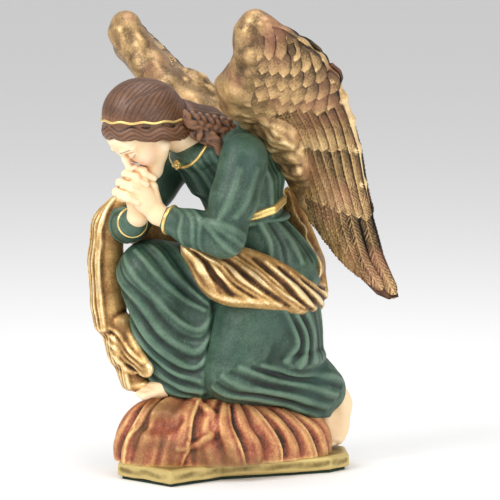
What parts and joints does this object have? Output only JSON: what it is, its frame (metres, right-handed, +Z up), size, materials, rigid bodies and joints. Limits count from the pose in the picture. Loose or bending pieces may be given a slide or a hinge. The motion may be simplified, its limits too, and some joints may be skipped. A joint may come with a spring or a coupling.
{
  "type": "angel figurine",
  "caption": "Kneeling winged angel statuette with bowed head and clasped hands, on a draped mound and an irregular low plinth.",
  "frame": {"origin": "middle of the bounding box at the underside of the felt pad, on the surface the statuette stands on", "axes": "+Z up; the angel faces -Y; +X is the angel's left"},
  "size_m": [0.2302, 0.1876, 0.3153],
  "materials": {
    "steel": "plain ground dowel pin",
    "felt": "pressed felt sheet, dark green",
    "plinth_gold": "cast resin, aged gold paint rubbed back on the edges",
    "mound_copper": "cast resin, copper paint with gold dry-brushed ridges",
    "robe_green": "cast resin, dark green paint with paler dry-brushed folds",
    "skin": "cast resin, satin flesh paint",
    "hair_brown": "cast resin, brown paint with darker grooves",
    "trim_gold": "cast resin, metallic gold paint",
    "mantle_gold": "cast resin, antique gold paint with brown wash",
    "wing_bronze": "cast resin, antique bronze paint with gold highlights"
  },
  "bodies": {
    "root": {"neck_dowel": "steel", "wing_dowel_left_upper": "steel", "wing_dowel_left_lower": "steel", "wing_dowel_right_upper": "steel", "wing_dowel_right_lower": "steel", "wrist_dowel_left": "steel", "wrist_dowel_right": "steel", "waist_dowel": "steel", "knee_dowel": "steel", "shin_dowel": "steel", "plinth_dowel_front": "steel", "plinth_dowel_back": "steel", "felt_pad": "felt", "base_plinth": "plinth_gold", "wing_left": "wing_bronze", "wing_right": "wing_bronze", "head": "skin", "hand_left": "skin", "hand_right": "skin", "foot_front": "skin", "foot_rear": "skin", "circlet": "trim_gold", "collar_brooch": "trim_gold", "collar_trim": "trim_gold", "cuff_left": "trim_gold", "cuff_right": "trim_gold", "waist_cord": "trim_gold", "hair_cap": "hair_brown", "hair_locks": "hair_brown", "sleeve_left": "robe_green", "sleeve_right": "robe_green", "robe_bodice": "robe_green", "robe_kneeling_leg": "robe_green", "robe_front_leg": "robe_green", "mantle_wrap": "mantle_gold", "mantle_back": "mantle_gold", "mantle_far": "mantle_gold", "mantle_fall": "mantle_gold", "drapery_mound": "mound_copper"}
  },
  "joints": []
}
